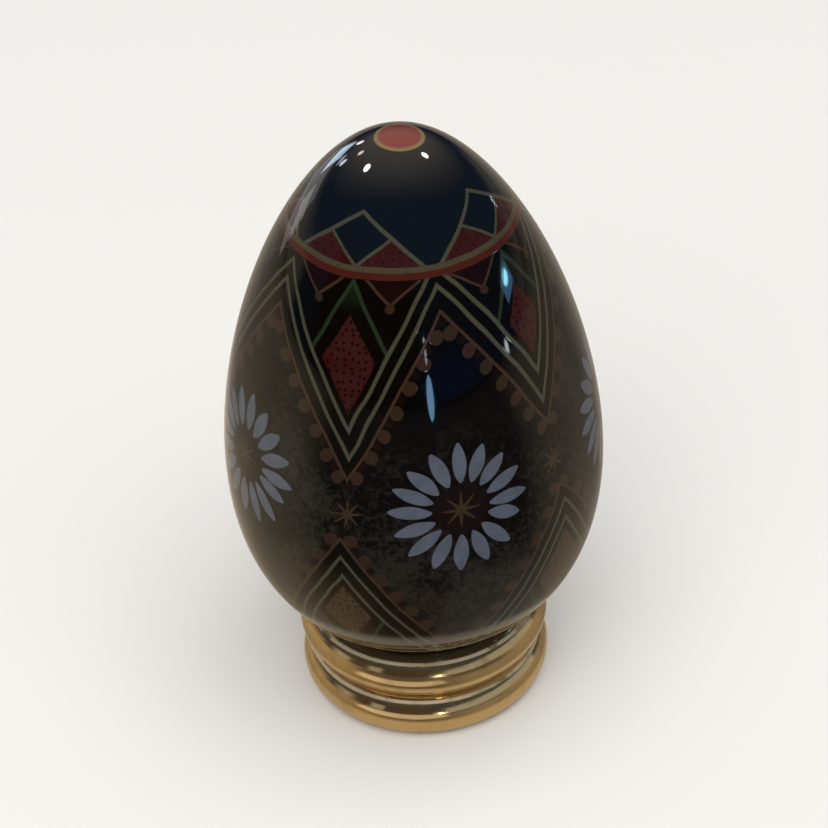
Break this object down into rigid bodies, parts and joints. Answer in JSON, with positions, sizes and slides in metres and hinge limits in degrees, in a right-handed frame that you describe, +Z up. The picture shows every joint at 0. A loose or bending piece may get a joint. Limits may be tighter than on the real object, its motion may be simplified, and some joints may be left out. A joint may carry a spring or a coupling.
{
  "type": "glass easter egg on a ring stand",
  "caption": "Decorated glass egg, blunt end down, resting by its own weight in the conical seat of an open beaded brass ring; stands upright as an ornament.",
  "frame": {"origin": "middle of the ring stand's underside, on the axis of the egg and the ring", "axes": "+Z up along the egg's axis, towards its pointed end; -Y is the front"},
  "size_m": [0.0424, 0.0424, 0.0728],
  "materials": {
    "egg_glass": "opaque near-black glass, polished, with a printed folk pattern under the gloss",
    "ring_brass": "polished gold-coloured brass, slightly tarnished in the grooves"
  },
  "bodies": {
    "root": {"egg": "egg_glass", "ring_stand": "ring_brass"}
  },
  "joints": []
}
